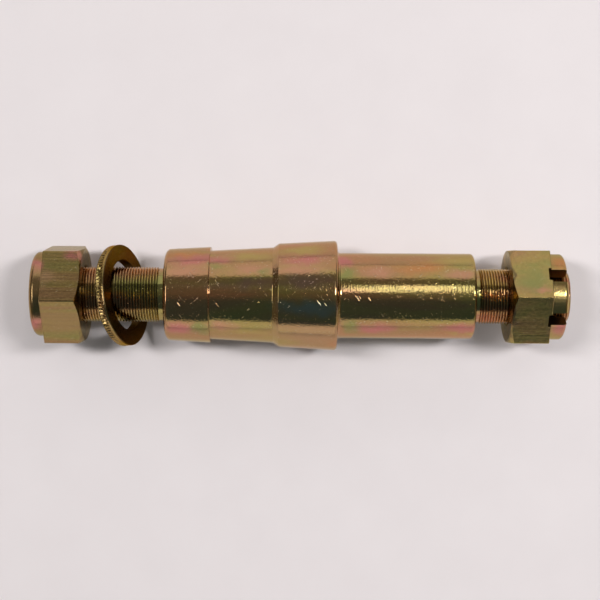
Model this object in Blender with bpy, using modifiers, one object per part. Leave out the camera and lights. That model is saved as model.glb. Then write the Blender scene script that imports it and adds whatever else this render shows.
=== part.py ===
"""Tapered connecting pin with its lock nut, washer and castle nut, in metres.

The pin lies along X: its lock nut is at the left end (-X), its castle nut at the right.
Places along the pin are counted from the shoulder face, where the taper ends, and the
middle of the whole object's length lies at X = 0. +Z is up, and -Y is the near side.
"""

from math import atan, atan2, ceil, cos, pi, radians, sin, sqrt, tan

import bmesh
import bpy
from mathutils import Matrix

MM = 0.001

# The pin's taper: two ground lands with a shallow relief between them
TAPER_BIG_DIA = 60.0 * MM
TAPER_PER_LENGTH = 1 / 9
SMALL_LAND = 24.5 * MM
RELIEF_LENGTH = 33.9 * MM
RELIEF_RAMP = 3.2 * MM
RELIEF_DEPTH = 2.0 * MM
BIG_LAND = 31.6 * MM
SMALL_END_RADIUS = 2.8 * MM
BIG_END_RADIUS = 1.7 * MM
LAND_EDGE = 0.3 * MM

# The pin's journal, necks and threads
JOURNAL_DIA = 46.5 * MM
JOURNAL_LENGTH = 74.0 * MM
JOURNAL_EDGE = 1.6 * MM
SHOULDER_FILLET = 2.0 * MM
THREAD_DIA = 30.0 * MM
THREAD_PITCH = 1.5 * MM
NECK_DEPTH = 0.7 * MM
LEFT_NECK = 3.4 * MM
LEFT_THREAD = 59.5 * MM
RIGHT_NECK = 2.9 * MM
RIGHT_THREAD = 48.5 * MM
END_CHAMFER = 1.5 * MM
CENTRE_HOLE_DIA = 3.2 * MM
CENTRE_MOUTH_DIA = 8.0 * MM
CENTRE_HOLE_DEPTH = 7.0 * MM
COTTER_HOLE_DIA = 6.3 * MM

# Both nuts
ACROSS_FLATS = 50.0 * MM
BEARING_FACE_STEP = 0.4 * MM
CORNER_CHAMFER = radians(30)
THREAD_GAP = 0.3 * MM
BORE_CHAMFER = 1.0 * MM

# The castle nut
CASTLE_FROM_JOURNAL = 18.7 * MM
CASTLE_HEX = 21.2 * MM
CROWN_LENGTH = 8.7 * MM
CROWN_DIA = 47.0 * MM
CROWN_EDGE = 2.0 * MM
SLOT_WIDTH = 7.3 * MM
SLOT_INTO_HEX = 1.8 * MM
CASTLE_CORNER = radians(-1.3)

# The lock nut and the nylon ring in its collar
LOCK_FROM_TAPER = 44.0 * MM
LOCK_HEX = 20.7 * MM
COLLAR_LENGTH = 6.7 * MM
COLLAR_WALL = 3.7 * MM
COLLAR_EDGE = 3.0 * MM
LIP_OVER_RING = 2.0 * MM
LIP_WALL = 1.3 * MM
RING_LENGTH = 4.5 * MM
RING_WALL = 4.7 * MM
RING_BITE = 0.7 * MM
RING_GAP = 0.3 * MM
LOCK_CORNER = radians(-7.8)

# The washer, which hangs askew on the left thread
WASHER_DIA = 55.6 * MM
WASHER_THICK = 5.0 * MM
WASHER_PLAY = 8.5 * MM
WASHER_FROM_NUT = 19.8 * MM
WASHER_LEAN = radians(18.3)
WASHER_TURN = radians(7.4)
WASHER_ASIDE = -0.6 * MM
WASHER_GAP = 0.3 * MM
TORN_BAND = 2.9 * MM
TORN_TEETH = 84
TORN_DEPTH = 0.4 * MM

ROUND_STEPS = 48
THREAD_STEPS = 24
ARC_STEPS = 3
OVERCUT = 2.0 * MM

# Places along the pin, from the shoulder face
small_end = -(SMALL_LAND + RELIEF_LENGTH + RELIEF_RAMP + BIG_LAND)
left_end = small_end - LEFT_NECK - LEFT_THREAD
right_end = JOURNAL_LENGTH + RIGHT_NECK + RIGHT_THREAD
lock_face = small_end - LOCK_FROM_TAPER
lock_end = lock_face - LOCK_HEX - COLLAR_LENGTH
castle_face = JOURNAL_LENGTH + CASTLE_FROM_JOURNAL
crown_start = castle_face + CASTLE_HEX
castle_end = crown_start + CROWN_LENGTH
object_middle = (min(lock_end, left_end) + max(right_end, castle_end)) / 2
corner_radius = ACROSS_FLATS / 2 / cos(pi / 6)
thread_radius = THREAD_DIA / 2
thread_depth = 0.6134 * THREAD_PITCH
bore_radius = thread_radius + THREAD_GAP
ring_bore = thread_radius - RING_BITE
ring_radius = ring_bore + RING_WALL
groove_radius = ring_radius + RING_GAP
collar_radius = groove_radius + COLLAR_WALL
washer_bore = thread_radius + WASHER_PLAY / 2


def new_collection(name):
    found = bpy.data.collections.new(name)
    bpy.context.scene.collection.children.link(found)
    return found


def new_material(name, colour, roughness, metallic):
    material = bpy.data.materials.new(name)
    material.use_nodes = True
    shader = material.node_tree.nodes["Principled BSDF"]
    shader.inputs["Base Color"].default_value = (*colour, 1)
    shader.inputs["Roughness"].default_value = roughness
    shader.inputs["Metallic"].default_value = metallic
    material.diffuse_color = (*colour, 1)
    return material


def place_on_pin(obj, along, turn):
    """Lays a body made about local Z along the pin. turn is about the pin, from +Z to +Y."""
    shift = Matrix.Translation((along - object_middle, 0, 0))
    lie_down = Matrix.Rotation(pi / 2, 4, "Y")
    obj.matrix_world = shift @ lie_down @ Matrix.Rotation(-turn, 4, "Z")


def new_object(name, mesh, collection, material=None, along=0.0, turn=0.0):
    obj = bpy.data.objects.new(name, mesh)
    collection.objects.link(obj)
    place_on_pin(obj, along, turn)
    if material:
        mesh.materials.append(material)
    if collection == cutters:
        obj.hide_render = True
        obj.display_type = "WIRE"
    return obj


def arc(centre, radius, first, last, steps=ARC_STEPS):
    """Points on an arc in (radius, along) terms; angles in degrees, 0 outwards, 90 to the right."""
    points = []
    for i in range(steps + 1):
        angle = radians(first + (last - first) * i / steps)
        points.append((centre[0] + radius * cos(angle), centre[1] + radius * sin(angle)))
    return points


def turned(name, outline, collection, material=None, along=0.0, ring=False, steps=ROUND_STEPS):
    """Spins an outline of (radius, along) points, listed from the right end to the left."""
    half_step = pi / steps
    mesh = bpy.data.meshes.new(name)
    points = [(r * cos(half_step), r * sin(half_step), s) for r, s in outline]
    edges = [(i, i + 1) for i in range(len(points) - 1)]
    if ring:
        edges.append((len(points) - 1, 0))
    mesh.from_pydata(points, edges, [])
    obj = new_object(name, mesh, collection, material, along)
    screw = obj.modifiers.new("turned", "SCREW")
    screw.axis = "Z"
    screw.steps = screw.render_steps = steps
    screw.use_merge_vertices = True
    screw.merge_threshold = 0.000005
    screw.use_smooth_shade = True
    return obj


def prism(name, sides, radius, length, collection, material=None, along=0.0, turn=0.0):
    """A straight prism whose first corner points up; along is the place of its left end."""
    mesh = bpy.data.meshes.new(name)
    shape = bmesh.new()
    bmesh.ops.create_cone(
        shape, cap_ends=True, segments=sides, radius1=radius, radius2=radius, depth=length
    )
    upright = Matrix.Translation((0, 0, length / 2)) @ Matrix.Rotation(pi / 2, 4, "Z")
    bmesh.ops.transform(shape, matrix=upright, verts=shape.verts)
    shape.to_mesh(mesh)
    shape.free()
    return new_object(name, mesh, collection, material, along, turn)


def boolean(obj, tool, operation):
    step = obj.modifiers.new(tool.name, "BOOLEAN")
    step.operation = operation
    step.solver = "EXACT"
    step.object = tool
    return step


def taper_radius(along):
    """The taper's radius at a place left of the shoulder face."""
    return TAPER_BIG_DIA / 2 + along * TAPER_PER_LENGTH / 2


def centre_hole(end, inward):
    """A centre-drilled hole's outline on an end face, from the face to the axis."""
    drill, mouth = CENTRE_HOLE_DIA / 2, CENTRE_MOUTH_DIA / 2
    cone = (mouth - drill) * tan(radians(60))
    tip = drill * tan(radians(30))
    return [
        (mouth, end),
        (drill, end + inward * cone),
        (drill, end + inward * (CENTRE_HOLE_DEPTH - tip)),
        (0, end + inward * CENTRE_HOLE_DEPTH),
    ]


def threaded_end(name, foot, length, to_left):
    """A right-handed thread on a rod, from its root at the foot to a chamfered, drilled tip."""
    root = thread_radius - thread_depth
    low, high = -2 * OVERCUT, length + OVERCUT
    rows = THREAD_STEPS * (ceil((high - low) / THREAD_PITCH) + 2)
    roots, crests = [], []
    mesh = bpy.data.meshes.new(name)
    shape = bmesh.new()
    for i in range(rows + 1):
        x, y = (turn(2 * pi * (i + 0.5) / THREAD_STEPS) for turn in (cos, sin))
        rise = low + (i / THREAD_STEPS - 1.5) * THREAD_PITCH
        roots.append(shape.verts.new((root * x, root * y, rise)))
        top = rise + THREAD_PITCH / 2
        crests.append(shape.verts.new((thread_radius * x, thread_radius * y, top)))
    for i in range(rows):
        shape.faces.new((roots[i], roots[i + 1], crests[i + 1], crests[i]))
        above = i + THREAD_STEPS
        if above < rows:
            shape.faces.new((crests[i], crests[i + 1], roots[above + 1], roots[above]))
    for place, way in ((low, -1), (high, 1)):
        everything = [*shape.verts, *shape.edges, *shape.faces]
        cut = bmesh.ops.bisect_plane(
            shape,
            geom=everything,
            dist=0.0001 * MM,
            plane_co=(0, 0, place),
            plane_no=(0, 0, way),
            clear_outer=True,
        )
        rim = [edge for edge in cut["geom_cut"] if isinstance(edge, bmesh.types.BMEdge)]
        bmesh.ops.contextual_create(shape, geom=rim)
    bmesh.ops.recalc_face_normals(shape, faces=shape.faces)
    shape.to_mesh(mesh)
    shape.free()
    mesh.shade_smooth()
    mesh.set_sharp_from_angle(angle=radians(30))
    thread = new_object(name, mesh, cutters, None, foot)

    outline = centre_hole(length, -1)[::-1]
    outline += [
        (thread_radius - END_CHAMFER, length),
        (thread_radius + OVERCUT, length - END_CHAMFER - OVERCUT),
        (thread_radius + OVERCUT, thread_depth + OVERCUT),
        (root - OVERCUT, -OVERCUT),
        (0, -OVERCUT),
    ]
    blank = turned(f"{name}_blank", outline, cutters, along=foot, steps=THREAD_STEPS)
    if to_left:
        for obj in (thread, blank):
            obj.matrix_world = obj.matrix_world @ Matrix.Rotation(pi, 4, "X")
    boolean(thread, blank, "INTERSECT")
    return thread


def make_pin(collection, material):
    """The turned pin, with the cross hole that a split pin through the castle nut would use."""
    journal = JOURNAL_DIA / 2
    neck = thread_radius - NECK_DEPTH
    right_thread = JOURNAL_LENGTH + RIGHT_NECK
    left_thread = small_end - LEFT_NECK
    half_angle = atan(TAPER_PER_LENGTH / 2)
    slope = half_angle * 180 / pi
    outline = [(0, right_thread), (neck, right_thread), (neck, JOURNAL_LENGTH)]
    outline += arc((journal - JOURNAL_EDGE, JOURNAL_LENGTH - JOURNAL_EDGE), JOURNAL_EDGE, 90, 0)
    fillet_centre = (journal + SHOULDER_FILLET, SHOULDER_FILLET)
    outline += arc(fillet_centre, SHOULDER_FILLET, 180, 270)
    big_centre = -BIG_END_RADIUS
    big_radius = taper_radius(big_centre) - BIG_END_RADIUS / cos(half_angle)
    outline += arc((big_radius, big_centre), BIG_END_RADIUS, 90, -slope)
    ramp_top = -BIG_LAND
    relief_start = ramp_top - RELIEF_RAMP
    relief_end = relief_start - RELIEF_LENGTH
    outline += [
        (taper_radius(ramp_top), ramp_top),
        (taper_radius(relief_start) - RELIEF_DEPTH, relief_start),
        (taper_radius(relief_end) - RELIEF_DEPTH, relief_end),
        (taper_radius(relief_end) - LAND_EDGE, relief_end),
        (taper_radius(relief_end - LAND_EDGE), relief_end - LAND_EDGE),
    ]
    small_centre = small_end + SMALL_END_RADIUS
    small_radius = taper_radius(small_centre) - SMALL_END_RADIUS / cos(half_angle)
    outline += arc((small_radius, small_centre), SMALL_END_RADIUS, -slope, -90)
    outline += [(neck, small_end), (neck, left_thread), (0, left_thread)]
    pin = turned("pin", outline, collection, material)
    boolean(pin, threaded_end("right_thread", right_thread, RIGHT_THREAD, False), "UNION")
    boolean(pin, threaded_end("left_thread", left_thread, LEFT_THREAD, True), "UNION")

    slot_middle = (crown_start - SLOT_INTO_HEX + castle_end) / 2
    hole = prism("cotter_hole", 24, COTTER_HOLE_DIA / 2, THREAD_DIA + 2 * OVERCUT, cutters)
    across = Matrix.Rotation(pi / 2, 4, "X")
    start = Matrix.Translation((slot_middle - object_middle, thread_radius + OVERCUT, 0))
    hole.matrix_world = start @ across
    boolean(pin, hole, "DIFFERENCE")
    return pin


def hex_body(name, face, length, corner, face_to_right, collection, material):
    """A hexagon from its bearing face, with the corners turned back in a cone at that face."""
    left = face - length if face_to_right else face
    body = prism(name, 6, corner_radius, length, collection, material, left, corner)
    small = ACROSS_FLATS / 2 - BEARING_FACE_STEP
    big = corner_radius + OVERCUT
    cone = (big - small) * tan(CORNER_CHAMFER)
    outline = [(0, 0), (small, 0), (big, -cone), (big, -length - OVERCUT), (0, -length - OVERCUT)]
    if not face_to_right:
        outline = [(r, -s) for r, s in outline[::-1]]
    chamfer = turned(f"{name}_corner_turning", outline, cutters, along=face)
    boolean(body, chamfer, "INTERSECT")
    return body


def make_castle_nut(collection, material):
    """A hexagon with a round crown, and six slots in line with the middles of the flats."""
    nut = hex_body("castle_nut", castle_face, CASTLE_HEX, CASTLE_CORNER, False, collection, material)
    crown_radius = CROWN_DIA / 2
    overlap = CASTLE_HEX / 2
    outline = [(0, CROWN_LENGTH)]
    edge_centre = (crown_radius - CROWN_EDGE, CROWN_LENGTH - CROWN_EDGE)
    outline += arc(edge_centre, CROWN_EDGE, 90, 0, 2)
    outline += [(crown_radius, -overlap), (0, -overlap)]
    boolean(nut, turned("crown", outline, cutters, along=crown_start), "UNION")

    length = CASTLE_HEX + CROWN_LENGTH
    mouth = bore_radius + BORE_CHAMFER
    outline = [
        (0, length + OVERCUT),
        (mouth, length + OVERCUT),
        (mouth, length),
        (bore_radius, length - BORE_CHAMFER),
        (bore_radius, BORE_CHAMFER),
        (mouth, 0),
        (mouth, -OVERCUT),
        (0, -OVERCUT),
    ]
    boolean(nut, turned("castle_bore", outline, cutters, along=castle_face), "DIFFERENCE")

    slot_depth = CROWN_LENGTH + SLOT_INTO_HEX
    for i in range(3):
        mesh = bpy.data.meshes.new("slot")
        shape = bmesh.new()
        bmesh.ops.create_cube(shape, size=1)
        size = (CROWN_DIA + 4 * OVERCUT, SLOT_WIDTH, slot_depth + OVERCUT)
        bmesh.ops.scale(shape, vec=size, verts=shape.verts)
        bmesh.ops.translate(shape, vec=(0, 0, size[2] / 2), verts=shape.verts)
        shape.to_mesh(mesh)
        shape.free()
        middle_of_flat = CASTLE_CORNER + radians(30 + 60 * i)
        slot = new_object(
            f"slot_{i + 1}", mesh, cutters, None, crown_start - SLOT_INTO_HEX, middle_of_flat
        )
        boolean(nut, slot, "DIFFERENCE")
    return nut


def make_lock_nut(collection, material):
    """A hexagon with a round collar, whose lip is rolled over the nylon ring's groove."""
    nut = hex_body("lock_nut", lock_face, LOCK_HEX, LOCK_CORNER, True, collection, material)
    collar = collar_radius
    overlap = LOCK_HEX / 2
    hex_end = lock_face - LOCK_HEX
    outline = [(0, overlap), (collar, overlap)]
    outline += arc((collar - COLLAR_EDGE, COLLAR_EDGE - COLLAR_LENGTH), COLLAR_EDGE, 0, -90, 5)
    outline += [(0, -COLLAR_LENGTH)]
    boolean(nut, turned("collar", outline, cutters, along=hex_end), "UNION")

    groove_end = lock_end + LIP_WALL
    groove_start = groove_end + RING_LENGTH + 2 * RING_GAP
    lip = ring_radius - LIP_OVER_RING
    mouth = bore_radius + BORE_CHAMFER
    outline = [
        (0, lock_face + OVERCUT),
        (mouth, lock_face + OVERCUT),
        (mouth, lock_face),
        (bore_radius, lock_face - BORE_CHAMFER),
        (bore_radius, groove_start),
        (groove_radius, groove_start),
        (groove_radius, groove_end),
        (lip, groove_end),
        (lip, lock_end - OVERCUT),
        (0, lock_end - OVERCUT),
    ]
    boolean(nut, turned("lock_bore", outline, cutters), "DIFFERENCE")
    return nut


def make_nylon_insert(collection, material):
    """The nylon ring, still uncut, because the pin's thread hasn't reached it."""
    start = lock_end + LIP_WALL + RING_GAP
    outline = [(ring_bore, start + RING_LENGTH), (ring_radius, start + RING_LENGTH)]
    outline += [(ring_radius, start), (ring_bore, start)]
    return turned("nylon_insert", outline, collection, material, ring=True)


def washer_height():
    """How high the leaning washer's centre lies when its bore hangs on the thread."""
    clear = thread_radius + WASHER_GAP
    edge_y = WASHER_ASIDE - WASHER_THICK / 2 * cos(WASHER_LEAN) * sin(WASHER_TURN)
    edge_z = -WASHER_THICK / 2 * sin(WASHER_LEAN)
    heights = []
    for degree in range(-60, 61):
        up, side = washer_bore * cos(radians(degree)), washer_bore * sin(radians(degree))
        y = edge_y - up * sin(WASHER_LEAN) * sin(WASHER_TURN) + side * cos(WASHER_TURN)
        if abs(y) < clear:
            heights.append(sqrt(clear * clear - y * y) - edge_z - up * cos(WASHER_LEAN))
    return max(heights)


def make_washer(collection, material):
    """A thick stamped washer: a smooth sheared band, and a torn band with fine teeth."""
    half = WASHER_THICK / 2
    lap = 0.4 * MM
    radius = WASHER_DIA / 2
    torn_radius = radius - TORN_DEPTH / 4
    mesh = bpy.data.meshes.new("washer")
    shape = bmesh.new()
    bmesh.ops.create_cone(
        shape,
        cap_ends=True,
        segments=2 * TORN_TEETH,
        radius1=torn_radius,
        radius2=torn_radius,
        depth=TORN_BAND,
    )
    pitch = pi / TORN_TEETH
    stand_on_two_teeth = Matrix.Rotation(pitch, 4, "Z")
    bmesh.ops.translate(shape, vec=(0, 0, TORN_BAND / 2 - half), verts=shape.verts)
    for corner in shape.verts:
        if round(atan2(corner.co.x, corner.co.y) / pitch) % 2:
            corner.co.x *= 1 - TORN_DEPTH / torn_radius
            corner.co.y *= 1 - TORN_DEPTH / torn_radius
    bmesh.ops.transform(shape, matrix=stand_on_two_teeth, verts=shape.verts)
    shape.to_mesh(mesh)
    shape.free()
    washer = new_object("washer", mesh, collection, material)

    smooth_start = TORN_BAND - half - lap
    outline = [(0, half), (radius, half), (radius, smooth_start), (0, smooth_start)]
    smooth = turned("sheared_band", outline, cutters)
    boolean(washer, smooth, "UNION")
    outline = [(0, half + OVERCUT), (washer_bore, half + OVERCUT)]
    outline += [(washer_bore, -half - OVERCUT), (0, -half - OVERCUT)]
    bore = turned("washer_bore", outline, cutters)
    boolean(washer, bore, "DIFFERENCE")

    along = lock_face + WASHER_FROM_NUT - object_middle
    place = Matrix.Translation((along, WASHER_ASIDE, washer_height()))
    turn = Matrix.Rotation(WASHER_TURN, 4, "Z")
    lean = Matrix.Rotation(-WASHER_LEAN, 4, "Y")
    for obj in (washer, smooth, bore):
        obj.matrix_world = place @ turn @ lean @ Matrix.Rotation(pi / 2, 4, "Y")
    return washer


def shade_round(collection):
    """Smooths the round faces of each finished piece, with its modifiers left live."""
    for obj in collection.objects:
        obj.data.shade_smooth()
        if obj.data.polygons:
            obj.data.set_sharp_from_angle(angle=radians(30))


for old in list(bpy.data.objects):
    bpy.data.objects.remove(old, do_unlink=True)

cutters = new_collection("cutters")
parts = new_collection("connecting_pin")

zinc = new_material("yellow_zinc_ground", (0.55, 0.43, 0.24), 0.28, 1.0)
nut_zinc = new_material("yellow_zinc_nut", (0.47, 0.41, 0.20), 0.38, 1.0)
washer_zinc = new_material("yellow_zinc_washer", (0.36, 0.27, 0.12), 0.42, 1.0)
nylon = new_material("nylon", (0.82, 0.80, 0.72), 0.5, 0.0)

make_pin(parts, zinc)
make_castle_nut(parts, nut_zinc)
make_lock_nut(parts, nut_zinc)
make_nylon_insert(parts, nylon)
make_washer(parts, washer_zinc)
shade_round(parts)
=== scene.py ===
from math import ceil, cos, pi, radians, sin, tan
from random import Random

import bpy
from mathutils import Matrix, Vector


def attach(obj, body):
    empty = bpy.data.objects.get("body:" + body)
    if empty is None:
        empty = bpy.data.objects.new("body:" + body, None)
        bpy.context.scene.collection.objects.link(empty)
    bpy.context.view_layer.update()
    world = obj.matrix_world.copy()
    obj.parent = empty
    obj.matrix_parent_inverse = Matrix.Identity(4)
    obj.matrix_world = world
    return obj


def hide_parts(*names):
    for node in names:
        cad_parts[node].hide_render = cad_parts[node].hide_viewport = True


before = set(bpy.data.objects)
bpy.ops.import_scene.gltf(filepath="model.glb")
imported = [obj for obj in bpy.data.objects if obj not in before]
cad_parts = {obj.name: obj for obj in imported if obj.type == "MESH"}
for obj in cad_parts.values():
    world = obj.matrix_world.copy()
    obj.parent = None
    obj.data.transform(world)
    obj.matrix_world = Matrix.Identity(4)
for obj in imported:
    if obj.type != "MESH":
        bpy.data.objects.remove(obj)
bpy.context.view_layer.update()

# A tapered connecting pin with its lock nut, washer and castle nut. Lengths are in millimetres
# along the pin from the middle of the whole, with the lock nut at the left end, at -X.
MM = 0.001


# THE PIN
# One bar of alloy steel, turned between centres, ground on the two lands of its taper and on
# the journal, threaded at both ends, cross drilled for a split pin and plated with yellow zinc.
PIN_LEFT, PIN_RIGHT = -136.5, 145.0
SMALL_END, FIRST_LAND_END, RAMP_FOOT, RAMP_TOP, SHOULDER = -73.6, -49.1, -15.2, -12.0, 19.6
JOURNAL_END, LEFT_THREAD_END, RIGHT_THREAD_START = 93.6, -77.0, 96.5
SHOULDER_RADIUS, JOURNAL_RADIUS, THREAD_RADIUS, NECK_RADIUS = 30.0, 23.25, 15.0, 14.3
RELIEF, END_CHAMFER, PITCH, RUN_OUT, TAPER_RUN = 2.0, 1.5, 1.5, 0.7, 18
HOLE_RADIUS, HOLE_MOUTH, HOLE_CONE, HOLE_DRILLED, HOLE_DEPTH = 1.6, 4.0, 4.16, 6.08, 7.0
CROSS_HOLE, CROSS_HOLE_RADIUS = 136.95, 3.15
AXIS = 0.005  # the radius at which a turned body begins and ends
LATHE_STEPS, THREAD_STEPS = 192, 96


def rounded(corners, steps=6):
    """Rounds the corners (along, radius, bend) of an outline, each to its own bend."""
    points = []
    for i, (along, radius, bend) in enumerate(corners):
        here = Vector((along, radius))
        if not bend:
            points.append(here)
            continue
        back = (Vector(corners[i - 1][:2]) - here).normalized()
        on = (Vector(corners[i + 1][:2]) - here).normalized()
        half = back.angle(on) / 2
        centre = here + (back + on).normalized() * bend / sin(half)
        first = here + back * bend / tan(half) - centre
        last = here + on * bend / tan(half) - centre
        for step in range(steps + 1):
            points.append(centre + first.lerp(last, step / steps).normalized() * bend)
    return points


def turn_on_lathe(name, outline, steps=LATHE_STEPS):
    """Turns a closed body about X, ring by ring, along (along, radius) points."""
    along, radius = outline[0]
    bpy.ops.object.select_all(action="DESELECT")
    bpy.ops.mesh.primitive_circle_add(
        vertices=steps, radius=radius * MM, location=(along * MM, 0, 0), rotation=(0, pi / 2, 0)
    )
    body = bpy.context.object
    body.name = body.data.name = name
    bpy.ops.object.transform_apply(location=True, rotation=True, scale=True)
    bpy.ops.object.mode_set(mode="EDIT")
    bpy.ops.mesh.select_all(action="SELECT")
    for next_along, next_radius in outline[1:]:
        step = ((next_along - along) * MM, 0, 0)
        bpy.ops.mesh.extrude_edges_move(TRANSFORM_OT_translate={"value": step})
        grow = next_radius / radius
        bpy.ops.transform.resize(value=(1, grow, grow), center_override=(next_along * MM, 0, 0))
        along, radius = next_along, next_radius
    bpy.ops.mesh.select_all(action="SELECT")
    bpy.ops.mesh.remove_doubles(threshold=0.011 * MM)
    bpy.ops.mesh.normals_make_consistent(inside=False)
    bpy.ops.object.mode_set(mode="OBJECT")
    return body


def combine(body, tool, operation="DIFFERENCE"):
    """Cuts, joins or intersects a body with a tool body, which is used up."""
    bpy.ops.object.select_all(action="DESELECT")
    body.select_set(True)
    bpy.context.view_layer.objects.active = body
    step = body.modifiers.new("combine", "BOOLEAN")
    step.operation, step.solver, step.object = operation, "MANIFOLD", tool
    bpy.ops.object.modifier_apply(modifier=step.name)
    bpy.data.objects.remove(tool, do_unlink=True)


def thread_form(left, right, root, crest, crest_flat):
    """A rod with a 60 degree helical thread on it, longer than the span at both ends."""
    flank = (crest - root) * tan(radians(30))
    start = left - 2 * PITCH
    outline = [(start, root), (start + flank, crest), (start + flank + crest_flat, crest)]
    outline += [(start + 2 * flank + crest_flat, root), (start + PITCH, root)]
    bpy.ops.object.select_all(action="DESELECT")
    bpy.ops.mesh.primitive_plane_add(size=MM)
    rod = bpy.context.object
    bpy.ops.object.mode_set(mode="EDIT")
    bpy.ops.mesh.select_all(action="SELECT")
    bpy.ops.mesh.merge(type="CENTER")
    at = (0, 0)
    for along, radius in outline:
        step = {"value": ((along - at[0]) * MM, 0, (radius - at[1]) * MM)}
        if at == (0, 0):
            bpy.ops.transform.translate(**step)
        else:
            bpy.ops.mesh.extrude_vertices_move(TRANSFORM_OT_translate=step)
        at = (along, radius)
    bpy.ops.object.mode_set(mode="OBJECT")
    screw = rod.modifiers.new("thread", "SCREW")
    screw.axis, screw.screw_offset = "X", PITCH * MM
    screw.steps = screw.render_steps = THREAD_STEPS
    screw.iterations = ceil((right - left) / PITCH) + 4
    bpy.ops.object.modifier_apply(modifier=screw.name)
    bpy.ops.object.mode_set(mode="EDIT")
    bpy.ops.mesh.select_all(action="SELECT")
    bpy.ops.mesh.remove_doubles(threshold=0.001 * MM)
    for end, way in ((left - 0.4, -1), (right + 0.4, 1)):
        bpy.ops.mesh.select_all(action="SELECT")
        bpy.ops.mesh.bisect(
            plane_co=(end * MM, 0, 0),
            plane_no=(way, 0, 0),
            use_fill=True,
            clear_outer=True,
            threshold=1e-7,
        )
    bpy.ops.mesh.select_all(action="SELECT")
    bpy.ops.mesh.normals_make_consistent(inside=False)
    bpy.ops.object.mode_set(mode="OBJECT")
    return rod


def cut_outer_thread(body, left, right):
    """Cuts a thread with a die: a sleeve round the bar, with the thread form through it."""
    outside = THREAD_RADIUS + 2
    outline = [(left, AXIS), (left, outside), (right, outside), (right, AXIS)]
    die = turn_on_lathe("die", outline, THREAD_STEPS)
    combine(die, thread_form(
        left, right, root=THREAD_RADIUS - 0.9, crest=THREAD_RADIUS + 0.2, crest_flat=0.05
    ))
    combine(body, die)


def finish_faces(body, angle=30):
    """Shades the turned faces smooth and keeps the flat ones flat."""
    bpy.ops.object.select_all(action="DESELECT")
    body.select_set(True)
    bpy.context.view_layer.objects.active = body
    bpy.ops.object.shade_smooth_by_angle(angle=radians(angle))
    weighted = body.modifiers.new("weighted", "WEIGHTED_NORMAL")
    weighted.keep_sharp = True
    bpy.ops.object.modifier_apply(modifier=weighted.name)


def taper_radius(along):
    """The radius of the taper's two lands at a place along the pin."""
    return SHOULDER_RADIUS + (along - SHOULDER) / TAPER_RUN


pin = turn_on_lathe("turned_pin", rounded([
    (PIN_LEFT + HOLE_DEPTH, AXIS, 0),
    (PIN_LEFT + HOLE_DRILLED, HOLE_RADIUS, 0),
    (PIN_LEFT + HOLE_CONE, HOLE_RADIUS, 0),
    (PIN_LEFT, HOLE_MOUTH, 0.3),
    (PIN_LEFT, THREAD_RADIUS - END_CHAMFER, 0.3),
    (PIN_LEFT + END_CHAMFER, THREAD_RADIUS, 0.3),
    (LEFT_THREAD_END - RUN_OUT, THREAD_RADIUS, 0),
    (LEFT_THREAD_END, NECK_RADIUS, 0.3),
    (SMALL_END, NECK_RADIUS, 0.4),
    (SMALL_END, taper_radius(SMALL_END), 2.8),
    (FIRST_LAND_END, taper_radius(FIRST_LAND_END), 0.35),
    (FIRST_LAND_END, taper_radius(FIRST_LAND_END) - RELIEF, 0.5),
    (RAMP_FOOT, taper_radius(RAMP_FOOT) - RELIEF, 1.5),
    (RAMP_TOP, taper_radius(RAMP_TOP), 0.7),
    (SHOULDER, SHOULDER_RADIUS, 1.7),
    (SHOULDER, JOURNAL_RADIUS, 2.0),
    (JOURNAL_END, JOURNAL_RADIUS, 1.6),
    (JOURNAL_END, NECK_RADIUS, 0.4),
    (RIGHT_THREAD_START, NECK_RADIUS, 0.3),
    (RIGHT_THREAD_START + RUN_OUT, THREAD_RADIUS, 0),
    (PIN_RIGHT - END_CHAMFER, THREAD_RADIUS, 0.3),
    (PIN_RIGHT, THREAD_RADIUS - END_CHAMFER, 0.3),
    (PIN_RIGHT, HOLE_MOUTH, 0.3),
    (PIN_RIGHT - HOLE_CONE, HOLE_RADIUS, 0),
    (PIN_RIGHT - HOLE_DRILLED, HOLE_RADIUS, 0),
    (PIN_RIGHT - HOLE_DEPTH, AXIS, 0),
]))
cut_outer_thread(pin, PIN_LEFT - 2, LEFT_THREAD_END)
cut_outer_thread(pin, RIGHT_THREAD_START, PIN_RIGHT + 2)
bpy.ops.mesh.primitive_cylinder_add(
    vertices=48,
    radius=CROSS_HOLE_RADIUS * MM,
    depth=40 * MM,
    location=(CROSS_HOLE * MM, 0, 0),
    rotation=(pi / 2, 0, 0),
)
drill = bpy.context.object
bpy.ops.object.transform_apply(location=True, rotation=True, scale=True)
combine(pin, drill)
finish_faces(pin)


def put(tree, kind, inputs=None, **settings):
    """Puts a node in a tree, with its settings, and values or links for its sockets."""
    node = tree.nodes.new(kind)
    for name, value in settings.items():
        setattr(node, name, value)
    for name, value in (inputs or {}).items():
        if isinstance(value, bpy.types.NodeSocket):
            tree.links.new(value, node.inputs[name])
        else:
            node.inputs[name].default_value = value
    return node


# A Mix node uses the same socket names for numbers and for colours, so these are their places.
NUMBER_A, NUMBER_B, COLOUR_A, COLOUR_B, MIXED_COLOUR = 2, 3, 6, 7, 2


def ramp(tree, factor, stops):
    """A colour ramp over (place, (red, green, blue)) stops."""
    node = put(tree, "ShaderNodeValToRGB", {"Fac": factor})
    bar = node.color_ramp.elements
    for i, (place, colour) in enumerate(stops):
        stop = bar[i] if i < 2 else bar.new(place)
        stop.position = place
        stop.color = (*colour, 1)
    return node.outputs["Color"]


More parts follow.
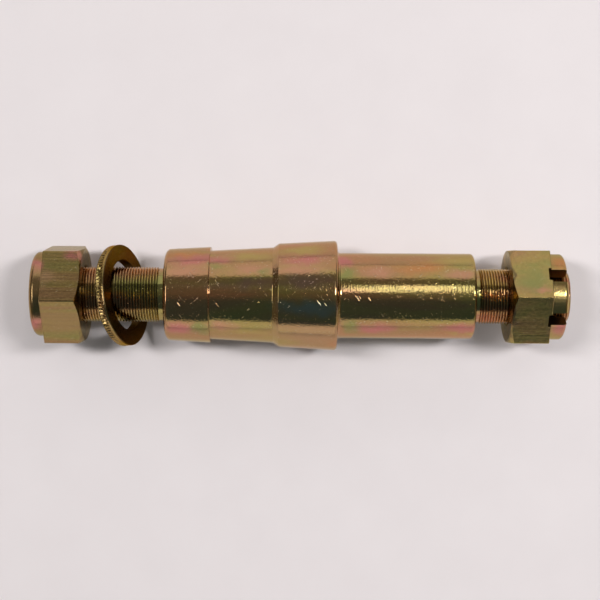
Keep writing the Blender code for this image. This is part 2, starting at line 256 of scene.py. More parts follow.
def new_group(name, inputs, outputs):
    """A shader node group with named inputs {name: start value} and outputs {name: kind}."""
    group = bpy.data.node_groups.new(name, "ShaderNodeTree")
    kinds = {float: "NodeSocketFloat", tuple: "NodeSocketVector", list: "NodeSocketColor"}
    for socket, start in inputs.items():
        made = group.interface.new_socket(socket, in_out="INPUT", socket_type=kinds[type(start)])
        made.default_value = start
    for socket, kind in outputs.items():
        group.interface.new_socket(socket, in_out="OUTPUT", socket_type=kinds[kind])
    start, end = group.nodes.new("NodeGroupInput"), group.nodes.new("NodeGroupOutput")
    return group, start.outputs, end.inputs


def zinc_film():
    """The colour of a yellow zinc coat, whose thin passivation layer drifts from gold to rose."""
    tree, given, result = new_group(
        "zinc_film",
        {"Position": (0.0, 0.0, 0.0), "Patches": (14.0, 45.0, 45.0), "Spread": 1.0, "Lean": 0.0,
         "Shade": 1.0, "Mottle": 0.2},
        {"Color": list},
    )
    place = put(tree, "ShaderNodeVectorMath", {0: given["Position"], 1: given["Patches"]})
    place.operation = "MULTIPLY"
    wide = put(tree, "ShaderNodeTexNoise", {"Vector": place.outputs[0], "Scale": 1.0, "Detail": 4.0,
                                            "Roughness": 0.5, "Distortion": 0.5})
    centred = put(tree, "ShaderNodeMath", {0: wide.outputs["Fac"], 1: 0.5}, operation="SUBTRACT")
    spread = put(tree, "ShaderNodeMath", {0: centred.outputs[0], 1: given["Spread"], 2: 0.5})
    spread.operation = "MULTIPLY_ADD"
    leant = put(tree, "ShaderNodeMath", {0: spread.outputs[0], 1: given["Lean"]}, operation="ADD")
    colour = ramp(tree, leant.outputs[0], [
        (0.08, (0.27, 0.30, 0.10)),
        (0.26, (0.36, 0.32, 0.11)),
        (0.42, (0.45, 0.32, 0.12)),
        (0.55, (0.45, 0.27, 0.13)),
        (0.68, (0.51, 0.26, 0.13)),
        (0.80, (0.52, 0.22, 0.16)),
        (0.92, (0.36, 0.27, 0.15)),
    ])
    speck = put(tree, "ShaderNodeTexNoise", {"Vector": given["Position"], "Scale": 650.0,
                                             "Detail": 3.0})
    evened = put(tree, "ShaderNodeMath", {0: speck.outputs["Fac"], 1: 0.5}, operation="SUBTRACT")
    mottled = put(tree, "ShaderNodeMath", {0: evened.outputs[0], 1: given["Mottle"], 2: 1.0})
    mottled.operation = "MULTIPLY_ADD"
    shaded = put(tree, "ShaderNodeMath", {0: mottled.outputs[0], 1: given["Shade"]},
                 operation="MULTIPLY")
    final = put(tree, "ShaderNodeVectorMath", {0: colour, "Scale": shaded.outputs[0]},
                operation="SCALE")
    tree.links.new(final.outputs[0], result["Color"])
    return tree


def stain():
    """A soft spot of another colour, as a mask round a centre in millimetres."""
    tree, given, result = new_group(
        "stain",
        {"Position": (0.0, 0.0, 0.0), "Centre": (0.0, 0.0, 0.0), "Size": (8.0, 4.0, 4.0)},
        {"Mask": float},
    )
    away = put(tree, "ShaderNodeVectorMath", {0: given["Position"], 1: given["Centre"]})
    away.operation = "SUBTRACT"
    sized = put(tree, "ShaderNodeVectorMath", {0: away.outputs[0], 1: given["Size"]})
    sized.operation = "DIVIDE"
    length = put(tree, "ShaderNodeVectorMath", {0: sized.outputs[0]}, operation="LENGTH")
    fade = put(tree, "ShaderNodeMapRange", {"Value": length.outputs["Value"], "From Min": 1.6,
                                            "From Max": 0.1, "To Max": 0.9})
    fade.interpolation_type = "SMOOTHSTEP"
    tree.links.new(fade.outputs["Result"], result["Mask"])
    return tree


def tool_marks():
    """Heights, from 0 to 1, of fine turning or drawing lines, of grain, and of small dents."""
    tree, given, result = new_group(
        "tool_marks",
        {"Position": (0.0, 0.0, 0.0), "Rings": (1800.0, 60.0, 60.0), "Grain": 900.0,
         "Ring Share": 0.5, "Dents": 0.5},
        {"Height": float, "Dent": float},
    )
    place = put(tree, "ShaderNodeVectorMath", {0: given["Position"], 1: given["Rings"]})
    place.operation = "MULTIPLY"
    rings = put(tree, "ShaderNodeTexNoise", {"Vector": place.outputs[0], "Scale": 1.0,
                                             "Detail": 2.0})
    grain = put(tree, "ShaderNodeTexNoise", {"Vector": given["Position"], "Scale": given["Grain"],
                                             "Detail": 1.0})
    both = put(tree, "ShaderNodeMix", {"Factor": given["Ring Share"],
                                       NUMBER_A: grain.outputs["Fac"],
                                       NUMBER_B: rings.outputs["Fac"]})
    spots = put(tree, "ShaderNodeTexNoise", {"Vector": given["Position"], "Scale": 900.0,
                                             "Detail": 1.0})
    pit = put(tree, "ShaderNodeMapRange", {"Value": spots.outputs["Fac"], "From Min": 0.68,
                                           "From Max": 0.78})
    deepest = pit.outputs["Result"]
    for turn in (0.9, -0.7):
        turned = put(tree, "ShaderNodeVectorRotate", {"Vector": given["Position"], "Angle": turn})
        turned.rotation_type = "Z_AXIS"
        drawn = put(tree, "ShaderNodeVectorMath", {0: turned.outputs[0], 1: (170.0, 1700.0, 700.0)})
        drawn.operation = "MULTIPLY"
        line = put(tree, "ShaderNodeTexNoise", {"Vector": drawn.outputs[0], "Scale": 1.0,
                                                "Detail": 0.0})
        scratch = put(tree, "ShaderNodeMapRange", {"Value": line.outputs["Fac"], "From Min": 0.78,
                                                   "From Max": 0.88})
        joined = put(tree, "ShaderNodeMath", {0: deepest, 1: scratch.outputs["Result"]})
        joined.operation = "MAXIMUM"
        deepest = joined.outputs[0]
    dent = put(tree, "ShaderNodeMath", {0: deepest, 1: given["Dents"]}, operation="MULTIPLY")
    height = put(tree, "ShaderNodeMath", {0: both.outputs[0], 1: dent.outputs[0]},
                 operation="SUBTRACT")
    tree.links.new(height.outputs[0], result["Height"])
    tree.links.new(dent.outputs[0], result["Dent"])
    return tree


FILM, STAIN, MARKS = zinc_film(), stain(), tool_marks()


def plated_steel(
    name, film, marks, roughness, relief, stains=(), edge=(0.9, 0.82, 0.68), thread=None
):
    """Yellow zinc on steel: its film colour, tool marks and any stains (place, size, colour).

    The edge colour is what it mirrors at a glancing angle. A thread (middle, half, root, crest)
    gets painted shade in its root and a painted highlight on its crest, further than half from
    the middle along X."""
    material = bpy.data.materials.new(name)
    material.use_nodes = True
    tree = material.node_tree
    shader = tree.nodes["Principled BSDF"]
    shader.inputs["Metallic"].default_value = 1.0
    shader.inputs["Specular Tint"].default_value = (*edge, 1)
    position = put(tree, "ShaderNodeTexCoord").outputs["Object"]
    coat = put(tree, "ShaderNodeGroup", node_tree=FILM)
    tree.links.new(position, coat.inputs["Position"])
    for socket, value in film.items():
        coat.inputs[socket].default_value = value
    colour = coat.outputs["Color"]
    if stains:
        wobble = put(tree, "ShaderNodeTexNoise", {"Vector": position, "Scale": 110.0,
                                                  "Detail": 4.0})
        moved = put(tree, "ShaderNodeVectorMath", {0: wobble.outputs["Color"], 1: (14.0, 9.0, 9.0),
                                                   2: (-7.0, -4.5, -4.5)}, operation="MULTIPLY_ADD")
        spot = put(tree, "ShaderNodeVectorMath", {0: position, 1: (1000, 1000, 1000),
                                                  2: moved.outputs[0]}, operation="MULTIPLY_ADD")
        for centre, size, tint in stains:
            mask = put(tree, "ShaderNodeGroup", node_tree=STAIN)
            tree.links.new(spot.outputs[0], mask.inputs["Position"])
            mask.inputs["Centre"].default_value = centre
            mask.inputs["Size"].default_value = size
            mixed = put(tree, "ShaderNodeMix", {"Factor": mask.outputs["Mask"], COLOUR_A: colour,
                                                COLOUR_B: (*tint, 1)}, data_type="RGBA")
            colour = mixed.outputs[MIXED_COLOUR]
    # Painted shade in the thread's root and a painted highlight on its crest: the film is darkened
    # or lightened by radius.
    if thread:
        middle, half, root, crest = thread
        split = put(tree, "ShaderNodeSeparateXYZ", {0: position})
        across = put(tree, "ShaderNodeCombineXYZ", {"Y": split.outputs["Y"],
                                                    "Z": split.outputs["Z"]})
        radius = put(tree, "ShaderNodeVectorMath", {0: across.outputs[0]}, operation="LENGTH")
        depth = put(tree, "ShaderNodeMapRange", {"Value": radius.outputs["Value"], "To Min": 0.7,
                                                 "To Max": 1.3, "From Min": root * MM,
                                                 "From Max": crest * MM})
        along = put(tree, "ShaderNodeMath", {0: split.outputs["X"], 1: middle * MM},
                    operation="SUBTRACT")
        away = put(tree, "ShaderNodeMath", {0: along.outputs[0]}, operation="ABSOLUTE")
        threaded = put(tree, "ShaderNodeMapRange", {"Value": away.outputs[0], "From Min": half * MM,
                                                    "From Max": (half + RUN_OUT) * MM})
        shade = put(tree, "ShaderNodeMix", {"Factor": threaded.outputs["Result"], NUMBER_A: 1.0,
                                            NUMBER_B: depth.outputs["Result"]})
        colour = put(tree, "ShaderNodeVectorMath", {0: colour, "Scale": shade.outputs[0]},
                     operation="SCALE").outputs[0]
    cut = put(tree, "ShaderNodeGroup", node_tree=MARKS)
    tree.links.new(position, cut.inputs["Position"])
    for socket, value in marks.items():
        cut.inputs[socket].default_value = value
    bare = put(tree, "ShaderNodeMix", {"Factor": cut.outputs["Dent"], COLOUR_A: colour,
                                       COLOUR_B: (0.6, 0.53, 0.4, 1)}, data_type="RGBA")
    tree.links.new(bare.outputs[MIXED_COLOUR], shader.inputs["Base Color"])
    low, high = roughness
    rough = put(tree, "ShaderNodeMapRange", {"Value": cut.outputs["Height"], "To Min": low,
                                             "To Max": high, "From Min": 0.3, "From Max": 0.7})
    tree.links.new(rough.outputs["Result"], shader.inputs["Roughness"])
    bump = put(tree, "ShaderNodeBump", {"Height": cut.outputs["Height"], "Strength": 1.0,
                                        "Distance": relief * MM})
    tree.links.new(bump.outputs["Normal"], shader.inputs["Normal"])
    return material


def coat(body, material):
    """Gives the whole of a body one material, whatever its tools left on it."""
    body.data.materials.clear()
    body.data.materials.append(material)
    for face in body.data.polygons:
        face.material_index = 0


GOLD, ROSE, LEAF = (0.46, 0.35, 0.12), (0.54, 0.20, 0.18), (0.28, 0.28, 0.10)
SALMON, AMBER, TAN = (0.53, 0.27, 0.17), (0.54, 0.25, 0.10), (0.45, 0.28, 0.15)
# The darkest colour here is painted shade, laid where shade falls: on the pin inside the castle nut
# and at the nuts' bearing faces.
BRONZE, PAINTED_SHADE = (0.34, 0.22, 0.10), (0.13, 0.09, 0.05)
PLUM, SLATE = (0.36, 0.23, 0.18), (0.32, 0.34, 0.28)


def on_pin(along, across, colour, length, width):
    """A stain on the upper side of the pin, at a place along it and across it."""
    if not SMALL_END < along < JOURNAL_END:
        radius = THREAD_RADIUS
    elif along > SHOULDER:
        radius = JOURNAL_RADIUS
    else:
        radius = taper_radius(along)
    height = (max(radius * radius - across * across, 0)) ** 0.5
    return (along, across, height), (length, width, width * 1.3), colour


pin_stains = [
    on_pin(-62, 21, AMBER, 10, 3),
    on_pin(-57, 18, ROSE, 12, 4),
    on_pin(-62, 12, SALMON, 14, 4),
    on_pin(-64, -18, ROSE, 10, 4),
    on_pin(-54, -18, LEAF, 4, 4),
    on_pin(-44, 20, ROSE, 7, 4),
    on_pin(-46, 15.5, LEAF, 4, 3),
    on_pin(-30, 22, GOLD, 14, 4),
    on_pin(-26, 14, SALMON, 14, 4),
    on_pin(-19, 13, LEAF, 5, 3),
    on_pin(-42, -18, SALMON, 8, 4),
    on_pin(-28, -21, GOLD, 10, 2.5),
    on_pin(0, 24, GOLD, 12, 4),
    on_pin(3, 19, ROSE, 12, 3.5),
    on_pin(-2, 13, SALMON, 14, 4),
    on_pin(4, -20, TAN, 20, 8),
    on_pin(3, 7, PLUM, 15, 3.5),
    on_pin(-32, 6, PLUM, 18, 3),
    on_pin(4, -7, SLATE, 16, 4),
    on_pin(23, 18, ROSE, 4.5, 4),
    on_pin(25, 11.5, LEAF, 5, 4),
    on_pin(64, 15, AMBER, 14, 4),
    on_pin(84, 19, GOLD, 14, 2.5),
    on_pin(86, 11, SALMON, 10, 3),
    on_pin(40, 12, SALMON, 8, 3.5),
    on_pin(27, -17, LEAF, 5, 5),
    on_pin(40, -18, ROSE, 10, 4),
    on_pin(85, -17, ROSE, 12, 2.5),
    on_pin(88, -20, GOLD, 8, 1.8),
    on_pin(-92, 5, LEAF, 16, 5),
    on_pin(-75, 6, LEAF, 3, 9),
    on_pin(95, 0, LEAF, 3, 9),
    on_pin(104, 7, GOLD, 8, 6),
    # Painted shade on the pin where it runs inside the castle nut and shows through the slots.
    ((134, 0, 0), (7, 30, 30), PAINTED_SHADE),  # inside the castle nut, all the way round
]
coat(pin, plated_steel(
    "ground_and_plated",
    film={"Patches": (16.0, 60.0, 60.0), "Spread": 1.1, "Shade": 0.92, "Mottle": 0.25},
    marks={"Rings": (900.0, 30.0, 30.0), "Grain": 1000.0, "Ring Share": 0.55, "Dents": 0.42},
    roughness=(0.08, 0.15),
    relief=0.12,
    stains=pin_stains,
    thread=((LEFT_THREAD_END + RIGHT_THREAD_START) / 2, (RIGHT_THREAD_START - LEFT_THREAD_END) / 2,
            THREAD_RADIUS - 0.85, THREAD_RADIUS - 0.05),
))
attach(pin, "pin")
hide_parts("pin")


# THE WASHER
# A thick washer stamped from plate and plated. It hangs askew on the left thread: the side that
# the punch entered is smooth, and the other side of its rim is torn in short ridges.
WASHER_RADIUS, WASHER_BORE, WASHER_HALF = 27.8, 19.25, 2.5
TORN_LEFT, TORN_RIGHT, TEETH, TOOTH_DEPTH = -2.2, 1.2, 92, 0.75
WASHER_PLACE, WASHER_LEAN, WASHER_TURN = (-97.8, -0.6, -1.89), radians(18.3), radians(7.4)
TORN_ROWS = 7

outline = rounded([
    (-WASHER_HALF, WASHER_BORE + 0.3, 0),
    (-WASHER_HALF, WASHER_RADIUS - 0.4, 0.15),
    (TORN_LEFT, WASHER_RADIUS - 0.1, 0),
], 3)
rows = [TORN_LEFT + (TORN_RIGHT - TORN_LEFT) * i / TORN_ROWS for i in range(1, TORN_ROWS)]
outline += [(along, WASHER_RADIUS - 0.02) for along in rows]
outline += rounded([
    (TORN_RIGHT, WASHER_RADIUS, 0),
    (WASHER_HALF, WASHER_RADIUS, 0.6),
    (WASHER_HALF, WASHER_BORE, 0.4),
    (-WASHER_HALF + 0.3, WASHER_BORE, 0),
    (-WASHER_HALF, WASHER_BORE + 0.3, 0),
], 4)
washer = turn_on_lathe("stamped_washer", outline, 6 * TEETH)
chance = Random(11)
depths = [chance.uniform(0.55, 1.0) for _ in range(TEETH)]
leans = [chance.uniform(-0.5, 0.5) for _ in range(TEETH)]
for corner in washer.data.vertices:
    along, radius = corner.co.x / MM, corner.co.yz.length / MM
    if TORN_LEFT - 0.05 < along < TORN_RIGHT - 0.05 and radius > WASHER_RADIUS - 0.3:
        around = corner.co.yz.angle_signed(Vector((0, -1))) / (2 * pi) % 1 * TEETH + 0.5
        tooth = int(around) % TEETH
        share = (along - TORN_LEFT) / (TORN_RIGHT - TORN_LEFT)
        phase = around - int(around) + leans[tooth] * (share - 0.5)
        hollow = (1 - sin(pi * phase) ** 2) * min(1, 3 * (1 - share), 6 * share + 0.5)
        cut = TOOTH_DEPTH * depths[tooth] * hollow
        corner.co.yz = corner.co.yz * (1 - cut / radius)
rim = [
    face.index
    for face in washer.data.polygons
    if abs(face.center.x) < (WASHER_HALF - 0.3) * MM
    and face.center.yz.length > (WASHER_RADIUS - 1) * MM
]
place = Matrix.Translation(Vector(WASHER_PLACE) * MM)
washer.matrix_world = (
    place @ Matrix.Rotation(WASHER_TURN, 4, "Z") @ Matrix.Rotation(-WASHER_LEAN, 4, "Y")
)
bpy.ops.object.transform_apply(location=True, rotation=True, scale=True)
finish_faces(washer, angle=60)
# The faces' film is far darker than the torn rim's: this is painted shade for the dark floor that
# the faces mirror. The rim keeps a lighter film of its own.
coat(washer, plated_steel(
    "stamped_and_plated_in_painted_shade",
    film={"Patches": (40.0, 40.0, 40.0), "Spread": 0.8, "Lean": 0.0, "Shade": 0.26, "Mottle": 0.7},
    marks={"Rings": (300.0, 300.0, 300.0), "Grain": 900.0, "Ring Share": 0.3, "Dents": 0.1},
    roughness=(0.24, 0.38),
    relief=0.08,
    edge=(0.5, 0.34, 0.18),
))
washer.data.materials.append(plated_steel(
    "torn_and_plated",
    film={"Patches": (60.0, 60.0, 60.0), "Spread": 0.5, "Lean": -0.04, "Shade": 0.8, "Mottle": 0.5},
    marks={"Rings": (300.0, 300.0, 300.0), "Grain": 900.0, "Ring Share": 0.3, "Dents": 0.2},
    roughness=(0.12, 0.2),
    relief=0.05,
    edge=(0.65, 0.45, 0.2),
))
for face in rim:
    washer.data.polygons[face].material_index = 1
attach(washer, "pin")
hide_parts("washer")


# THE LOCK NUT
# Turned from drawn hexagon bar, its corners turned back at the bearing face. The other end has
# a round collar, whose lip is rolled over the nylon ring once that is in.
LOCK_FACE, LOCK_HEX_END, LOCK_END, LOCK_CORNER = -117.6, -138.3, -145.0, radians(-7.8)
CORNER_RADIUS, FLAT_RADIUS, BORE, BORE_MOUTH = 28.868, 25.0, 15.25, 16.3
COLLAR_RADIUS, GROOVE_LEFT, GROOVE_RIGHT, GROOVE_RADIUS, LIP = 23.0, -143.7, -138.6, 19.3, 17.0


def hexagon(name, face, end, corner_turn):
    """A length of hexagon bar, its edges eased except at the bearing face."""
    bpy.ops.object.select_all(action="DESELECT")
    bpy.ops.mesh.primitive_cylinder_add(
        vertices=6,
        radius=CORNER_RADIUS * MM,
        depth=abs(face - end) * MM,
        location=((face + end) / 2 * MM, 0, 0),
        rotation=(0, pi / 2, 0),
    )
    bar = bpy.context.object
    bar.name = bar.data.name = name
    bar.matrix_world = Matrix.Rotation(pi / 2 - corner_turn, 4, "X") @ bar.matrix_world
    bpy.ops.object.transform_apply(location=True, rotation=True, scale=True)
    bpy.ops.object.mode_set(mode="EDIT")
    bpy.ops.mesh.select_mode(type="EDGE")
    bpy.ops.mesh.select_all(action="DESELECT")
    bpy.ops.object.mode_set(mode="OBJECT")
    for edge in bar.data.edges:
        one, other = [bar.data.vertices[i].co.x / MM for i in edge.vertices]
        lengthwise = abs(one - other) > 1
        edge.select = lengthwise or min(abs(one - face), abs(other - face)) > 1
    bpy.ops.object.mode_set(mode="EDIT")
    bpy.ops.mesh.bevel(offset=0.45 * MM, segments=3, affect="EDGES")
    bpy.ops.object.mode_set(mode="OBJECT")
    return bar


def turn_corners(bar, face, way):
    """Turns the hexagon's corners back in a 30 degree cone at its bearing face."""
    big = CORNER_RADIUS + 2
    cone = (big - FLAT_RADIUS + 0.4) * tan(radians(30))
    outline = rounded([
        (face - way * 40, AXIS, 0),
        (face - way * 40, big, 0),
        (face - way * cone, big, 0),
        (face, FLAT_RADIUS - 0.4, 0.5),
        (face, AXIS, 0),
    ])
    combine(bar, turn_on_lathe("corner_turning", outline), "INTERSECT")


def cut_inner_thread(nut, left, right):
    """Cuts a thread into a nut's bore, in grooves that leave the bore its size."""
    combine(nut, thread_form(left, right, root=BORE - 0.35, crest=BORE + 0.7, crest_flat=0.2))


lock_nut = hexagon("collared_lock_nut", LOCK_FACE, LOCK_HEX_END, LOCK_CORNER)
turn_corners(lock_nut, LOCK_FACE, 1)
combine(lock_nut, turn_on_lathe("collar", rounded([
    (LOCK_END, AXIS, 0),
    (LOCK_END, COLLAR_RADIUS, 3.0),
    (LOCK_HEX_END + 10, COLLAR_RADIUS, 0),
    (LOCK_HEX_END + 10, AXIS, 0),
], 10)), "UNION")
combine(lock_nut, turn_on_lathe("lock_nut_bore", rounded([
    (LOCK_END - 2, AXIS, 0),
    (LOCK_END - 2, LIP + 2.7, 0),
    (LOCK_END + 0.7, LIP, 0.4),
    (GROOVE_LEFT, LIP, 0),
    (GROOVE_LEFT, GROOVE_RADIUS, 0.2),
    (GROOVE_RIGHT, GROOVE_RADIUS, 0.2),
    (GROOVE_RIGHT, BORE, 0),
    (LOCK_FACE - 1, BORE, 0),
    (LOCK_FACE + 0.03, BORE_MOUTH, 0),
    (LOCK_FACE + 2, BORE_MOUTH, 0),
    (LOCK_FACE + 2, AXIS, 0),
], 4)))
cut_inner_thread(lock_nut, GROOVE_RIGHT + 0.6, LOCK_FACE + 1)
finish_faces(lock_nut)
coat(lock_nut, plated_steel(
    "drawn_and_plated",
    film={"Patches": (9.0, 160.0, 160.0), "Spread": 0.8, "Lean": -0.04, "Shade": 0.70,
          "Mottle": 0.5},
    marks={"Rings": (30.0, 800.0, 800.0), "Grain": 900.0, "Ring Share": 0.6, "Dents": 0.3},
    roughness=(0.16, 0.28),
    relief=0.06,
    edge=(0.8, 0.74, 0.58),
    stains=[
        ((-142, 14, 18), (4, 4, 9), ROSE),
        ((-120, 20, 15), (6, 3, 9), ROSE),
        ((-134, 8, 23), (6, 4, 9), TAN),
        ((-128, -15, 20), (13, 9, 9), BRONZE),
        ((-142, 4, 22), (4, 12, 6), BRONZE),
        ((-143, -16, 17), (4, 4, 9), ROSE),
        # Painted shade on the bearing face and the chamfer next to it.
        ((-116.4, 0, 0), (1.5, 60, 60), PAINTED_SHADE),
    ],
))
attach(lock_nut, "lock_nut")
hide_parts("lock_nut")


# THE NYLON RING
# A plain ring of natural nylon, pressed into the lock nut's collar and held by its lip. The
# pin's thread hasn't reached it, so its bore is still smooth.
RING_LEFT, RING_RIGHT, RING_INNER, RING_MIDDLE, RING_OUTER = -143.4, -138.9, 14.3, 16.5, 19.0

nylon_ring = turn_on_lathe("nylon_ring", rounded([
    (RING_LEFT, RING_MIDDLE, 0),
    (RING_LEFT, RING_OUTER, 0.4),
    (RING_RIGHT, RING_OUTER, 0.4),
    (RING_RIGHT, RING_INNER, 0.4),
    (RING_LEFT, RING_INNER, 0.6),
    (RING_LEFT, RING_MIDDLE, 0),
], 4), steps=128)
finish_faces(nylon_ring)
nylon = bpy.data.materials.new("natural_nylon")
nylon.use_nodes = True
tree = nylon.node_tree
shader = tree.nodes["Principled BSDF"]
shader.inputs["IOR"].default_value = 1.53
position = put(tree, "ShaderNodeTexCoord").outputs["Object"]
cloud = put(tree, "ShaderNodeTexNoise", {"Vector": position, "Scale": 90.0, "Detail": 4.0})
tint = ramp(tree, cloud.outputs["Fac"], [
    (0.3, (0.66, 0.62, 0.5)),
    (0.7, (0.76, 0.73, 0.62)),
])
tree.links.new(tint, shader.inputs["Base Color"])
sheen = put(tree, "ShaderNodeMapRange", {"Value": cloud.outputs["Fac"], "To Min": 0.38,
                                         "To Max": 0.55})
tree.links.new(sheen.outputs["Result"], shader.inputs["Roughness"])
coat(nylon_ring, nylon)
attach(nylon_ring, "lock_nut")
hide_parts("nylon_insert")


# THE CASTLE NUT
# The same hexagon bar with a round crown, milled across in line with the flats to make six
# slots for a split pin. Its bearing face is turned like the lock nut's.
CASTLE_FACE, CASTLE_HEX_END, CROWN_END, CASTLE_CORNER = 112.3, 133.5, 142.2, radians(-1.3)
CROWN_RADIUS, SLOT_FLOOR, SLOT_WIDTH = 23.5, 131.7, 7.3

castle_nut = hexagon("slotted_castle_nut", CASTLE_FACE, CASTLE_HEX_END, CASTLE_CORNER)
turn_corners(castle_nut, CASTLE_FACE, -1)
combine(castle_nut, turn_on_lathe("crown", rounded([
    (CASTLE_HEX_END - 10, AXIS, 0),
    (CASTLE_HEX_END - 10, CROWN_RADIUS, 0),
    (CROWN_END, CROWN_RADIUS, 2.0),
    (CROWN_END, AXIS, 0),
], 8)), "UNION")
combine(castle_nut, turn_on_lathe("castle_nut_bore", [
    (CASTLE_FACE - 2, AXIS),
    (CASTLE_FACE - 2, BORE_MOUTH),
    (CASTLE_FACE - 0.03, BORE_MOUTH),
    (CASTLE_FACE + 1, BORE),
    (CROWN_END - 1, BORE),
    (CROWN_END + 0.03, BORE_MOUTH),
    (CROWN_END + 2, BORE_MOUTH),
    (CROWN_END + 2, AXIS),
]))
cut_inner_thread(castle_nut, CASTLE_FACE - 1, CROWN_END + 1)
for i in range(3):
    bpy.ops.object.select_all(action="DESELECT")
    bpy.ops.mesh.primitive_cube_add(
        size=1, scale=(20 * MM, SLOT_WIDTH * MM, 60 * MM), location=((SLOT_FLOOR + 10) * MM, 0, 0)
    )
    cutter = bpy.context.object
    turned = Matrix.Rotation(-(CASTLE_CORNER + radians(30 + 60 * i)), 4, "X")
    cutter.matrix_world = turned @ cutter.matrix_world
    bpy.ops.object.transform_apply(location=True, rotation=True, scale=True)
    bpy.ops.object.mode_set(mode="EDIT")
    bpy.ops.mesh.select_mode(type="EDGE")
    bpy.ops.mesh.select_all(action="SELECT")
    bpy.ops.mesh.bevel(offset=0.5 * MM, segments=3, affect="EDGES")
    bpy.ops.object.mode_set(mode="OBJECT")
    combine(castle_nut, cutter)
finish_faces(castle_nut)
coat(castle_nut, plated_steel(
    "milled_and_plated",
    film={"Patches": (30.0, 80.0, 80.0), "Spread": 1.0, "Lean": -0.10, "Shade": 0.92,
          "Mottle": 0.4},
    marks={"Rings": (30.0, 800.0, 800.0), "Grain": 900.0, "Ring Share": 0.5, "Dents": 0.3},
    roughness=(0.14, 0.24),
    relief=0.05,
    edge=(0.8, 0.74, 0.58),
    stains=[
        ((139, -17, 16), (6, 5, 8), ROSE),
        ((139, 18, 15), (6, 5, 8), AMBER),
        ((122, 8, 24), (9, 6, 9), LEAF),
        ((128, 4, 25), (4, 1.6, 6), SALMON),
        # Painted shade at the bearing face, which faces the gap by the journal.
        ((111.1, 0, 0), (1.5, 60, 60), PAINTED_SHADE),
    ],
))
# The faces inside the slots get a much darker copy of the plating: painted shade in the slots.
castle_nut.data.materials.append(plated_steel(
    "slots_in_painted_shade",
    film={"Patches": (60.0, 60.0, 60.0), "Spread": 0.5, "Lean": 0.0, "Shade": 0.3, "Mottle": 0.5},
    marks={"Rings": (30.0, 800.0, 800.0), "Grain": 900.0, "Ring Share": 0.3, "Dents": 0.1},
    roughness=(0.3, 0.4),
    relief=0.05,
    edge=(0.5, 0.34, 0.18),
))
for i in range(6):
    turn = CASTLE_CORNER + radians(30 + 60 * i)
    outwards, sideways = Vector((0, sin(turn), cos(turn))), Vector((0, cos(turn), -sin(turn)))
    for face in castle_nut.data.polygons:
        inside = abs(face.center.dot(sideways)) / MM < SLOT_WIDTH / 2 + 0.05
        beyond = face.center.x / MM > SLOT_FLOOR - 0.6 and face.center.dot(outwards) > 0
        if inside and beyond:
            face.material_index = 1
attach(castle_nut, "castle_nut")
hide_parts("castle_nut")


# THE TABLE AND THE STUDIO LIGHT
# The pin lies on pale board, touching it at the shoulder and at one corner of the lock nut. The
# ceiling is dark in a strip along the pin, and the room's two ends are dark as the metal sees
# them, so the metal shows the two long walls and the lamps.
FLOOR_SLOPE, FLOOR_ALONG, FLOOR_HEIGHT = 0.0081, 17.806, -29.875

bpy.ops.object.select_all(action="DESELECT")
bpy.ops.mesh.primitive_grid_add(x_subdivisions=4, y_subdivisions=4, size=9)
board = bpy.context.object
board.name = board.data.name = "pale_board"
board.location = (FLOOR_ALONG * MM, 0, FLOOR_HEIGHT * MM)
board.rotation_euler = (0, FLOOR_SLOPE, 0)
paper = bpy.data.materials.new("pale_board")
paper.use_nodes = True
tree = paper.node_tree
shader = tree.nodes["Principled BSDF"]
shader.inputs["Roughness"].default_value = 0.75
shader.inputs["Specular IOR Level"].default_value = 0.2
position = put(tree, "ShaderNodeTexCoord").outputs["Object"]
fibre = put(tree, "ShaderNodeTexNoise", {"Vector": position, "Scale": 30.0, "Detail": 4.0})
tint = ramp(tree, fibre.outputs["Fac"], [
    (0.3, (0.82, 0.755, 0.765)),
    (0.7, (0.84, 0.775, 0.785)),
])
tree.links.new(tint, shader.inputs["Base Color"])
board.data.materials.append(paper)

world = bpy.data.worlds.new("studio")
bpy.context.scene.world = world
world.use_nodes = True
tree = world.node_tree
tree.nodes.clear()
direction = put(tree, "ShaderNodeTexCoord").outputs["Generated"]
toward = put(tree, "ShaderNodeSeparateXYZ", {0: direction}).outputs
square_on = put(tree, "ShaderNodeCombineXYZ", {"Y": toward["Y"], "Z": toward["Z"]})
level = put(tree, "ShaderNodeVectorMath", {0: square_on.outputs[0]}, operation="NORMALIZE")
overhead = put(tree, "ShaderNodeVectorMath", {0: level.outputs[0], 1: (0, -0.182, 0.983)},
               operation="DOT_PRODUCT")
under_ceiling = put(tree, "ShaderNodeMapRange", {"Value": overhead.outputs["Value"],
                                                 "From Min": 0.50, "From Max": 0.575})
across = put(tree, "ShaderNodeMapRange", {"Value": toward["Y"], "From Min": -1.0})
ceiling = ramp(tree, across.outputs["Result"], [
    (0.05, (0.06, 0.085, 0.10)),
    (0.38, (0.07, 0.10, 0.105)),
    (0.50, (0.17, 0.16, 0.14)),
    (0.90, (0.21, 0.20, 0.18)),
])
room = put(tree, "ShaderNodeMix", {"Factor": under_ceiling.outputs["Result"],
                                   COLOUR_A: (0.86, 0.83, 0.78, 1), COLOUR_B: ceiling},
           data_type="RGBA")
path = put(tree, "ShaderNodeLightPath").outputs
endways = put(tree, "ShaderNodeMath", {0: toward["X"]}, operation="ABSOLUTE")
end_wall = put(tree, "ShaderNodeMapRange", {"Value": endways.outputs[0], "From Min": 0.5,
                                            "From Max": 0.7})
seen_in_metal = put(tree, "ShaderNodeMath", {0: end_wall.outputs["Result"],
                                             1: path["Is Glossy Ray"]}, operation="MULTIPLY")
whole_room = put(tree, "ShaderNodeMix", {"Factor": seen_in_metal.outputs[0],
                                         COLOUR_A: room.outputs[MIXED_COLOUR],
                                         COLOUR_B: (0.14, 0.12, 0.10, 1)}, data_type="RGBA")
height = put(tree, "ShaderNodeMapRange", {"Value": toward["Z"], "From Max": 0.45,
                                          "To Min": 0.25, "To Max": 0.85})
on_board = put(tree, "ShaderNodeMix", {"Factor": path["Diffuse Depth"], NUMBER_A: 1.0,
                                       NUMBER_B: height.outputs["Result"]})
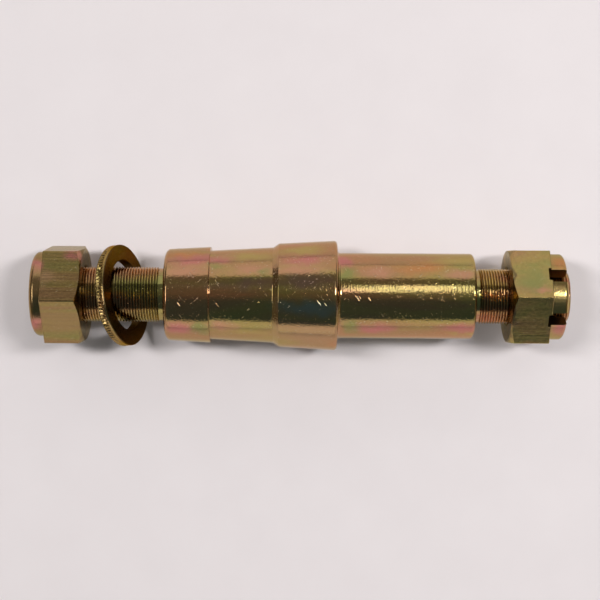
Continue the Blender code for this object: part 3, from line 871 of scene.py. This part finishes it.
walls = put(tree, "ShaderNodeBackground", {"Color": whole_room.outputs[MIXED_COLOUR],
                                           "Strength": on_board.outputs[0]})
backdrop = put(tree, "ShaderNodeBackground", {"Color": (0.86, 0.83, 0.83, 1), "Strength": 1.0})
shown = put(tree, "ShaderNodeMixShader", {0: path["Is Camera Ray"], 1: walls.outputs[0],
                                          2: backdrop.outputs[0]})
put(tree, "ShaderNodeOutputWorld", {"Surface": shown.outputs[0]})


def soft_lamp(name, place, size, strength, colour=(1, 1, 1), in_metal=True, on_floor=True):
    """An area lamp that faces the pin. Its size is its width across the pin and along its slope.

    It may be left out of what the metal mirrors, or out of the light on the floor."""
    lamp = bpy.data.lights.new(name, "AREA")
    lamp.shape = "RECTANGLE"
    lamp.size, lamp.size_y = size
    lamp.energy, lamp.color = strength, colour
    stand = bpy.data.objects.new(name, lamp)
    bpy.context.scene.collection.objects.link(stand)
    stand.location = place
    stand.rotation_euler = Vector(place).to_track_quat("Z", "Y").to_euler()
    stand.visible_camera = False
    stand.visible_glossy = in_metal
    stand.visible_diffuse = on_floor


soft_lamp("right_softbox", (0.70, 0.19, 1.31), (0.16, 0.5), 9.2)
soft_lamp("left_softbox", (-0.66, 0.19, 1.34), (0.16, 0.5), 8.6, in_metal=False)
soft_lamp("left_window", (-1.05, 0.05, 1.08), (0.9, 0.22), 3.1, on_floor=False)
soft_lamp("low_side_light", (1.5, 0.05, 0.32), (0.5, 0.5), 8, in_metal=False)
soft_lamp("small_lamp", (0.18, 0.48, 1.45), (0.2, 0.48), 0.88, (0.97, 0.97, 1.0))
soft_lamp("thin_lamp", (-0.27, 0.46, 1.45), (0.06, 0.5), 0.012, (0.9, 0.97, 1.0))

camera_data = bpy.data.cameras.new("overhead_camera")
camera_data.lens, camera_data.sensor_width = 80, 36
camera = bpy.data.objects.new("overhead_camera", camera_data)
bpy.context.scene.collection.objects.link(camera)
camera.location = (-0.0005, -0.0026, 0.73)
camera.rotation_euler = (0, 0, radians(0.336))
bpy.context.scene.camera = camera
bpy.context.scene.view_settings.view_transform = "Standard"
